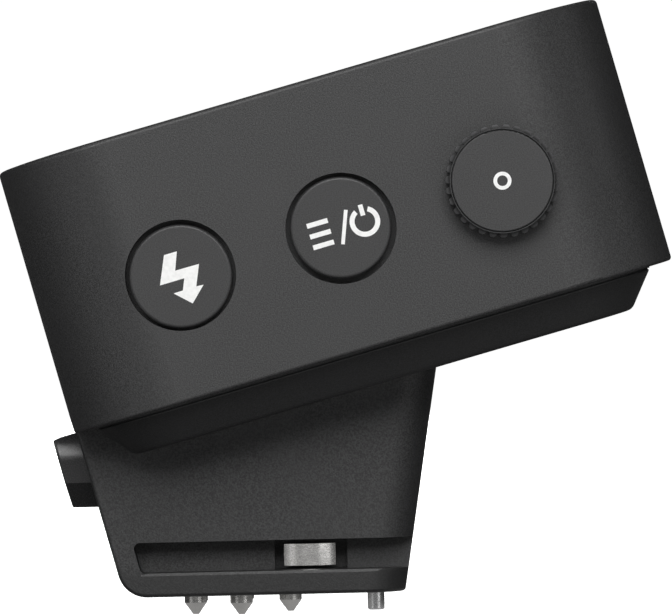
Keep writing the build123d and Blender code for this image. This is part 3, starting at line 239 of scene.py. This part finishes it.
def glass(name):
    """Black-backed touch glass: a faintly paler display window behind a printed border, and light smears."""
    n = Nodes(name)
    from_middle = n.vector("SUBTRACT", n.place, GLASS_MIDDLE)
    along = n.maths("ABSOLUTE", n.vector("DOT_PRODUCT", from_middle, ALONG))
    across = n.maths("ABSOLUTE", n.vector("DOT_PRODUCT", from_middle, Vector((0, 1, 0))))
    in_length = n.span(along, WINDOW_LENGTH / 2, WINDOW_LENGTH / 2 - WINDOW_BLUR)
    in_width = n.span(across, WINDOW_WIDTH / 2, WINDOW_WIDTH / 2 - WINDOW_BLUR)
    window = n.maths("MULTIPLY", in_length, in_width)
    smear = n.span(n.noise(5 * MM, 6, (1, 2.2, 1)), 0.5, 0.74)
    dust = n.span(n.noise(0.22 * MM, 2), 0.7, 0.78)
    ground = n.mix(window, (0.0035, 0.0035, 0.004), (0.0075, 0.008, 0.0095))
    ground = n.mix(n.maths("MULTIPLY", dust, 0.05), ground, (0.12, 0.12, 0.12))
    chamfer = n.edges(0.12 * MM, 0.05, 0.4)
    return n.set(
        IOR=1.52,
        Base_Color=n.mix(n.maths("MULTIPLY", chamfer, 0.25), ground, (0.05, 0.05, 0.055)),
        Roughness=n.maths("ADD", n.span(smear, 0, 1, 0.045, 0.13), n.maths("MULTIPLY", dust, 0.08)),
        Normal=n.bump(smear, 0.0006 * MM),
    )


def board(name):
    """Green solder mask over copper runs."""
    n = Nodes(name)
    runs = n.new("ShaderNodeTexVoronoi", distance="MANHATTAN", feature="DISTANCE_TO_EDGE")
    runs.inputs["Scale"].default_value = 1 / (1.5 * MM)
    n.feed(runs.inputs["Vector"], n.place)
    copper = n.span(runs.outputs["Distance"], 0.05, 0.09, 1, 0)
    fine = n.noise(0.3 * MM, 3)
    ground = n.mix(n.span(fine, 0.3, 0.7), (0.012, 0.09, 0.045), (0.018, 0.12, 0.06))
    ground = n.mix(n.maths("MULTIPLY", copper, 0.6), ground, (0.04, 0.22, 0.1))
    edge = n.maths("MULTIPLY", n.edges(0.15 * MM), 0.6)
    return n.set(
        Base_Color=n.mix(edge, ground, (0.3, 0.28, 0.16)),
        Roughness=n.span(fine, 0.3, 0.7, 0.28, 0.4),
        Normal=n.bump(copper, 0.02 * MM),
    )


def film(name, colour, wrinkle, rough):
    """Thin film with soft creases and a slight sheen of handling."""
    n = Nodes(name)
    crease = n.noise(wrinkle, 4, (1, 0.35, 1))
    fine = n.noise(0.2 * MM, 2)
    edge = n.maths("MULTIPLY", n.edges(0.15 * MM), 0.5)
    ground = n.mix(n.span(crease, 0.35, 0.7), colour, lighter(colour, 0.75))
    return n.set(
        Base_Color=n.mix(edge, ground, lighter(colour, 1.4)),
        Roughness=n.span(fine, 0.3, 0.7, rough - 0.06, rough + 0.08),
        Normal=n.bump(crease, 0.05 * MM),
    )


def foam(name):
    """Open-celled foam: painted shade in the pits, which are darker than the paler walls."""
    n = Nodes(name)
    cells = n.new("ShaderNodeTexVoronoi", feature="SMOOTH_F1")
    cells.inputs["Scale"].default_value = 1 / (0.3 * MM)
    n.feed(cells.inputs["Vector"], n.place)
    pits = n.span(cells.outputs["Distance"], 0.1, 0.7)
    edge = n.maths("MULTIPLY", n.edges(0.25 * MM), 0.4)
    return n.set(
        # Painted shade: the pits darker than the walls between them.
        Base_Color=n.mix(edge, n.mix(pits, (0.02, 0.02, 0.02), (0.06, 0.06, 0.062)), (0.12, 0.12, 0.12)),
        Roughness=n.span(pits, 0, 1, 0.95, 0.8),
        Normal=n.bump(pits, 0.06 * MM),
    )


def ink(name):
    """White pad-printed ink: slightly uneven cover and softened edges."""
    n = Nodes(name)
    cover = n.noise(0.35 * MM, 4)
    fine = n.noise(0.1 * MM, 2)
    edge = n.maths("MULTIPLY", n.edges(0.05 * MM, 0.05, 0.6), 0.35)
    ground = n.mix(n.span(cover, 0.35, 0.72), (0.86, 0.86, 0.85), (0.78, 0.78, 0.77))
    return n.set(
        Base_Color=n.mix(edge, ground, (0.66, 0.66, 0.65)),
        Roughness=n.span(fine, 0.3, 0.7, 0.42, 0.55),
        Normal=n.bump(fine, 0.003 * MM),
    )


BLACK = (0.023, 0.023, 0.0235)
FINISHES = {
    "housing_plastic": moulded("housing_plastic_finish", BLACK, 0.5, mottle=0.62, depth=0.012 * MM),
    "cover_plastic": moulded("cover_plastic_finish", lighter(BLACK, 0.9), 0.54),
    # Painted shade on the foot plate, below its top at 2 mm.
    "neck_plastic": moulded(
        "neck_plastic_finish", BLACK, 0.5, grain=0.13 * MM, depth=0.014 * MM, mottle=0.68, foot_shade_z=2.0 * MM
    ),
    "key_plastic": moulded(
        "key_plastic_finish", lighter(BLACK, 1.02), 0.46, grain=0.1 * MM, mottle=0.42, edge_wear_and_sheen=0.25
    ),
    "dial_plastic": moulded(
        "dial_plastic_finish", lighter(BLACK, 1.02), 0.47, grain=0.1 * MM, mottle=0.5, edge_wear_and_sheen=0.3, worn_and_sheen=3.6,
        teeth_highlight=(DIAL_MIDDLE, 4.3 * MM, 4.55 * MM),
    ),
    "release_plastic": moulded(
        "release_plastic_finish", lighter(BLACK, 1.05), 0.27, depth=0.002 * MM, mottle=0.2, edge_wear_and_sheen=0.5
    ),
    "switch_plastic": moulded("switch_plastic_finish", (0.05, 0.05, 0.05), 0.5),
    "plunger_plastic": moulded("plunger_plastic_finish", (0.66, 0.65, 0.6), 0.45, worn_and_sheen=1.15),
    "inner_plastic": moulded("inner_plastic_finish", (0.05, 0.05, 0.055), 0.55),
    "jack_plastic": moulded("jack_plastic_finish", (0.028, 0.028, 0.028), 0.42, grain=0.12 * MM),
    "chip_resin": moulded("chip_resin_finish", (0.026, 0.026, 0.028), 0.6, grain=0.1 * MM),
    "display_layers": moulded("display_layers_finish", (0.02, 0.02, 0.025), 0.2, depth=0.002 * MM),
    "screen_glass": glass("screen_glass_finish"),
    "circuit_board": board("circuit_board_finish"),
    "battery_film": film("battery_film_finish", (0.55, 0.55, 0.57), 6 * MM, 0.3),
    "flex_film": film("flex_film_finish", (0.48, 0.22, 0.045), 3 * MM, 0.25),
    "foam_pad": foam("foam_pad_finish"),
    "shaft_steel": metal("shaft_steel_finish", (0.56, 0.56, 0.55), 0.26, stretch=(1, 6, 1)),
    "pressed_steel": metal(
        "pressed_steel_finish", (0.6, 0.6, 0.59), 0.34, grain=0.4 * MM, stretch=(0.3, 3, 3)
    ),
    "port_steel": metal("port_steel_finish", (0.6, 0.6, 0.6), 0.24, grain=0.2 * MM, stretch=(1, 0.2, 1)),
    "leaf_metal": metal(
        "leaf_metal_finish", (0.78, 0.77, 0.75), 0.2, grain=0.12 * MM, depth=0.006 * MM, dull=0.7
    ),
    "contact_metal": metal(
        "contact_metal_finish", (0.72, 0.71, 0.69), 0.16, grain=0.1 * MM, stretch=(1, 1, 5)
    ),
    "lock_steel": metal("lock_steel_finish", (0.74, 0.74, 0.74), 0.16, grain=0.1 * MM, stretch=(1, 1, 5)),
    "spring_wire": metal("spring_wire_finish", (0.56, 0.56, 0.56), 0.3, grain=0.08 * MM),
    "screw_steel": metal("screw_steel_finish", (0.05, 0.05, 0.05), 0.4, grain=0.15 * MM, metallic=0.8),
}
INK = ink("legend_ink_finish")

SLOTS = {m["slot"] for m in frame["record"]["materials"]}
for node in frame["nodes"].values():
    for place in node.material_slots:
        if place.material and place.material.name in SLOTS:
            place.material = FINISHES[place.material.name]


# ---------------------------------------------------------------- printed symbols

INK_SUNK = 0.01 * MM
INK_PROUD = 0.02 * MM


def printed(name, outlines, node, body):
    """A closed slab of ink for each outline, lying on the outer face of that key.

    An outline is a list of (right, up) millimetres from the key's middle, in the head's own directions.
    """
    face = middle(node)
    face.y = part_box(node)[0].y
    mesh = bmesh.new()
    for outline in outlines:
        spots = [face + ALONG * (u * MM) + UP * (v * MM) for u, v in outline]
        back = [mesh.verts.new(p - OUT * INK_SUNK) for p in spots]
        front = [mesh.verts.new(p + OUT * INK_PROUD) for p in spots]
        count = len(outline)
        mesh.faces.new(front)
        mesh.faces.new(back[::-1])
        for i in range(count):
            j = (i + 1) % count
            mesh.faces.new((front[i], back[i], back[j], front[j]))
    bmesh.ops.recalc_face_normals(mesh, faces=mesh.faces)
    bmesh.ops.triangulate(mesh, faces=[f for f in mesh.faces if len(f.verts) > 4])
    data = bpy.data.meshes.new(name)
    mesh.to_mesh(data)
    mesh.free()
    piece = bpy.data.objects.new(name, data)
    bpy.context.scene.collection.objects.link(piece)
    data.materials.append(INK)
    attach(piece, body)


def arc(centre, radius, start, end, steps):
    """Points along an arc, angles in degrees from the right, anticlockwise."""
    turns = [math.radians(start + (end - start) * i / steps) for i in range(steps + 1)]
    return [(centre[0] + radius * math.cos(t), centre[1] + radius * math.sin(t)) for t in turns]


def band(centre, outer, inner, start, end, steps=48):
    """Outline of a part of a ring."""
    far = arc(centre, outer, start, end, steps)
    near = arc(centre, inner, start, end, steps)
    return far + near[::-1]


def bar(a, b, width):
    """Outline of a straight stroke from a to b with square ends."""
    run = Vector((b[0] - a[0], b[1] - a[1])).normalized() * (width / 2)
    side = Vector((-run.y, run.x))
    return [(a[0] + side.x, a[1] + side.y), (a[0] - side.x, a[1] - side.y),
            (b[0] - side.x, b[1] - side.y), (b[0] + side.x, b[1] + side.y)]


# A lightning bolt that ends in an arrow head.
BOLT = [(-0.82, 2.03), (0.27, 2.03), (-0.31, 0.56), (1.71, 0.54), (0.98, -1.15), (1.59, -1.18),
        (0.31, -2.40), (-0.95, -1.18), (-0.16, -1.16), (0.23, -0.24), (-1.83, -0.24)]
printed("flash_symbol", [BOLT], "flash_button", "flash_button")

# Three bars for the menu, a slanting stroke, and the power sign: a ring open at its top with a stroke in it.
POWER_X, POWER_Z = 2.02, -0.08
menu = [bar((-2.62, y), (-0.86, y), 0.40) for y in (0.86, -0.05, -0.96)]
menu.append(bar((-0.22, -1.36), (0.80, 1.26), 0.30))
menu.append(band((POWER_X, POWER_Z), 1.25, 0.84, 118, 422))
menu.append(bar((POWER_X, 1.33), (POWER_X, 0.42), 0.38))
printed("menu_power_symbol", menu, "menu_button", "menu_button")

# A small ring, made of two halves.
dial_mark = [band((0, 0), 0.73, 0.43, start, start + 180) for start in (0, 180)]
printed("dial_symbol", dial_mark, "dial_cap", "dial")


# ---------------------------------------------------------------- springs

def live_spring(node, k, end):
    """A copy of the spring's own coil in place of the CAD node, hung on the root. Its axis k and fixed end
    are worked out, but nothing makes the coil shorten as its joint moves.
    """
    piece = bpy.data.objects.new(node + "_coil", frame["nodes"][node].data.copy())
    bpy.context.scene.collection.objects.link(piece)
    piece.matrix_world = frame["nodes"][node].matrix_world
    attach(piece, "root")
    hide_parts(node)
    low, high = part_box(node)
    axis = Vector((0, 0, 0))
    axis[k] = 1
    anchor = (low + high) / 2
    anchor[k] = end
    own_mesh(piece)


# A mode is scale_x, scale_y or scale_z.
for joint in frame["record"]["behaviour"]["joints"]:
    for soft in joint.get("deforming_nodes", []):
        side = soft["mode"][-1]
        live_spring(soft["node"], "xyz".index(side), soft[f"fixed_end_{side}_m"])


# ---------------------------------------------------------------- floor

FLOOR_GAP = 0.05 * MM
FLOOR_HALF = 40.0
FLOOR_GLOW = 1.02
# Two lit places on the floor, each with where its light begins and where it is full.
PATCH_GLOW = 0.5
PATCH_SIDE = (160 * MM, 80 * MM)
PATCH_NEAR = (-20 * MM, -60 * MM)
PATCH_FAR = (-500 * MM, -300 * MM)
UNDER_GLOW = 0.35
UNDER_SIDE = (16 * MM, 12 * MM)
UNDER_DEPTH = (12 * MM, 8 * MM)


def white_floor():
    """Pale matt paper: bright all over to the camera, and bright to the object only in front and under it."""
    n = Nodes("floor_finish")
    paper = n.mix(n.span(n.noise(0.02, 4), 0.3, 0.7), (0.62, 0.62, 0.62), (0.65, 0.65, 0.65))
    seen = n.new("ShaderNodeLightPath").outputs["Is Camera Ray"]
    parts = n.new("ShaderNodeSeparateXYZ")
    n.feed(parts.inputs[0], n.place)
    x, y = parts.outputs["X"], parts.outputs["Y"]
    beside, across = n.maths("ABSOLUTE", x), n.maths("ABSOLUTE", y)
    ahead = n.maths("MULTIPLY", n.span(y, *PATCH_NEAR), n.span(y, *PATCH_FAR))
    patch = n.maths("MULTIPLY", n.maths("MULTIPLY", n.span(beside, *PATCH_SIDE), ahead), PATCH_GLOW)
    under = n.maths("MULTIPLY", n.span(beside, *UNDER_SIDE), n.span(across, *UNDER_DEPTH))
    patch = n.maths("ADD", patch, n.maths("MULTIPLY", under, UNDER_GLOW))
    glow = n.new("ShaderNodeEmission")
    n.feed(glow.inputs["Strength"], n.maths("ADD", n.maths("MULTIPLY", seen, FLOOR_GLOW), patch))
    both = n.new("ShaderNodeAddShader")
    n.set(Base_Color=n.mix(seen, (0.04, 0.04, 0.04), paper), Roughness=0.9)
    n.tree.links.new(n.shader.outputs[0], both.inputs[0])
    n.tree.links.new(glow.outputs[0], both.inputs[1])
    n.tree.links.new(both.outputs[0], n.tree.nodes["Material Output"].inputs["Surface"])
    return n.material


floor_mesh = bpy.data.meshes.new("floor")
corners = [(x * FLOOR_HALF, y * FLOOR_HALF, 0) for x, y in ((-1, -1), (1, -1), (1, 1), (-1, 1))]
floor_mesh.from_pydata(corners, [], [(0, 1, 2, 3)])
floor = bpy.data.objects.new("floor", floor_mesh)
floor.location.z = CAD_BOX[0].z - FLOOR_GAP
floor_mesh.materials.append(white_floor())
bpy.context.scene.collection.objects.link(floor)


# ---------------------------------------------------------------- light

AIM = (CAD_BOX[0] + CAD_BOX[1]) / 2
LIGHT_DISTANCE = 0.9


def softbox(name, azimuth, elevation, width, height, power, shine=True):
    """Area light looking at the object. Azimuth 0 is where the camera is, 90 on its right.

    Without shine it lights surfaces and isn't mirrored in them.
    """
    light = bpy.data.lights.new(name, "AREA")
    light.shape = "RECTANGLE"
    light.size, light.size_y = width, height
    light.energy = power
    lamp = bpy.data.objects.new(name, light)
    a, e = math.radians(azimuth), math.radians(elevation)
    back = Vector((math.sin(a) * math.cos(e), -math.cos(a) * math.cos(e), math.sin(e)))
    lamp.location = AIM + back * LIGHT_DISTANCE
    lamp.rotation_euler = (-back).to_track_quat("-Z", "Y").to_euler()
    lamp.visible_camera = False
    lamp.visible_glossy = shine
    bpy.context.scene.collection.objects.link(lamp)


softbox("front_box", 0, 32, 0.62, 0.6, 7.7)
softbox("left_wing", -62, 24, 0.4, 0.5, 1.15)
softbox("right_wing", 78, 18, 0.3, 0.4, 0.45)
softbox("left_strip", -50, 2, 0.4, 0.22, 0.3)
softbox("right_strip", 40, 2, 0.5, 0.22, 0.6)
softbox("top_box", 0, 85, 0.6, 0.4, 1.0)
softbox("back_box", 180, 25, 0.8, 0.5, 18.0, shine=False)

DIM_GLOW = 0.01
BACKDROP_GLOW = 1.02


def backdrop():
    """White to the camera and nearly dark to the object."""
    world = bpy.data.worlds.new("studio")
    world.use_nodes = True
    tree = world.node_tree
    tree.nodes.clear()
    seen = tree.nodes.new("ShaderNodeLightPath")
    either = tree.nodes.new("ShaderNodeMixShader")
    tree.links.new(seen.outputs["Is Camera Ray"], either.inputs["Fac"])
    for socket, strength in zip(either.inputs[1:], (DIM_GLOW, BACKDROP_GLOW)):
        shade = tree.nodes.new("ShaderNodeBackground")
        shade.inputs["Color"].default_value = (1, 1, 1, 1)
        shade.inputs["Strength"].default_value = strength
        tree.links.new(shade.outputs[0], socket)
    ground = tree.nodes.new("ShaderNodeOutputWorld")
    tree.links.new(either.outputs[0], ground.inputs["Surface"])
    return world


bpy.context.scene.world = backdrop()
bpy.context.scene.view_settings.view_transform = "Standard"
bpy.context.scene.view_settings.look = "None"


# ---------------------------------------------------------------- camera

CAMERA_DISTANCE = 500 * MM
LENS_MM = 329.46
SENSOR_MM = 36
CLIP_NEAR, CLIP_FAR = 0.02, 200
AXIS_X, AXIS_Z = 4.41 * MM, 23.84 * MM
ROLL = math.radians(1.3)
lens = bpy.data.cameras.new("camera")
lens.lens = LENS_MM
lens.sensor_width = SENSOR_MM
lens.clip_start, lens.clip_end = CLIP_NEAR, CLIP_FAR
camera = bpy.data.objects.new("camera", lens)
camera.location = (AXIS_X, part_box("upper_housing")[0].y - CAMERA_DISTANCE, AXIS_Z)
level = Matrix.Rotation(math.radians(90), 3, "X")
camera.rotation_euler = (level @ Matrix.Rotation(-ROLL, 3, "Z")).to_euler()
bpy.context.scene.collection.objects.link(camera)
bpy.context.scene.camera = camera
